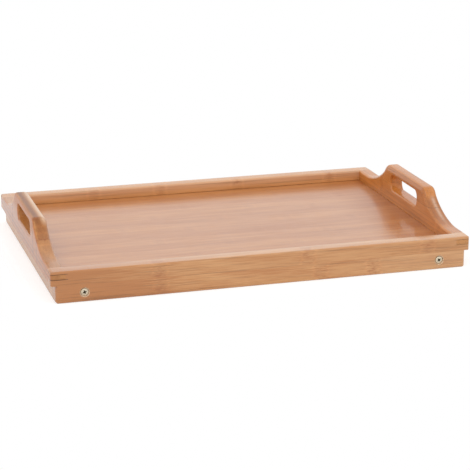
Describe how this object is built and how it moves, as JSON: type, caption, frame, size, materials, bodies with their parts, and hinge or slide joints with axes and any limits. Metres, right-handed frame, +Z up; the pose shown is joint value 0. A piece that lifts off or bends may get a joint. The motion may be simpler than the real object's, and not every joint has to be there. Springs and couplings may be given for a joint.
{
  "type": "bed tray",
  "caption": "Bamboo bed tray with raised end boards that have hand holes, a recessed panel and folding leg frames under it.",
  "frame": {"origin": "centre of the footprint, on the surface that the tray stands on with its legs folded", "axes": "+X along the tray's length from the left end board to the right one, +Y from the front rail to the rear one, +Z up"},
  "size_m": [0.5, 0.347, 0.0694],
  "materials": {
    "frame_bamboo": "lacquered bamboo strips, glossy",
    "board_bamboo": "lacquered bamboo strips, glossy",
    "panel_bamboo": "lacquered bamboo strips, glossy",
    "leg_bamboo": "lacquered bamboo, satin",
    "screw_metal": "nickel-plated steel",
    "nut_metal": "zinc-plated steel",
    "fibre_washer": "black fibre, matte"
  },
  "bodies": {
    "tray": {"upper_rail_front": "frame_bamboo", "upper_rail_rear": "frame_bamboo", "lower_rail_front": "frame_bamboo", "lower_rail_rear": "frame_bamboo", "end_strip_left": "frame_bamboo", "end_strip_right": "frame_bamboo", "end_board_left": "board_bamboo", "end_board_right": "board_bamboo", "tray_panel": "panel_bamboo", "pivot_screw_front_left": "screw_metal", "spacer_washer_front_left": "fibre_washer", "nut_washer_front_left": "nut_metal", "lock_nut_front_left": "nut_metal", "pivot_screw_front_right": "screw_metal", "spacer_washer_front_right": "fibre_washer", "nut_washer_front_right": "nut_metal", "lock_nut_front_right": "nut_metal", "pivot_screw_rear_left": "screw_metal", "spacer_washer_rear_left": "fibre_washer", "nut_washer_rear_left": "nut_metal", "lock_nut_rear_left": "nut_metal", "pivot_screw_rear_right": "screw_metal", "spacer_washer_rear_right": "fibre_washer", "nut_washer_rear_right": "nut_metal", "lock_nut_rear_right": "nut_metal"},
    "leg_frame_left": {"leg_front_left": "leg_bamboo", "leg_rear_left": "leg_bamboo", "foot_bar_left": "leg_bamboo"},
    "leg_frame_right": {"leg_front_right": "leg_bamboo", "leg_rear_right": "leg_bamboo", "foot_bar_right": "leg_bamboo"}
  },
  "joints": [
    {"name": "leg_frame_left_fold", "type": "hinge", "parent": "tray", "child": "leg_frame_left", "pos_m": [-0.212, 0, 0.0109], "axis": [0, 1, 0], "range_deg": [0, 105]},
    {"name": "leg_frame_right_fold", "type": "hinge", "parent": "tray", "child": "leg_frame_right", "pos_m": [0.212, 0, 0.0109], "axis": [0, -1, 0], "range_deg": [0, 105]}
  ]
}
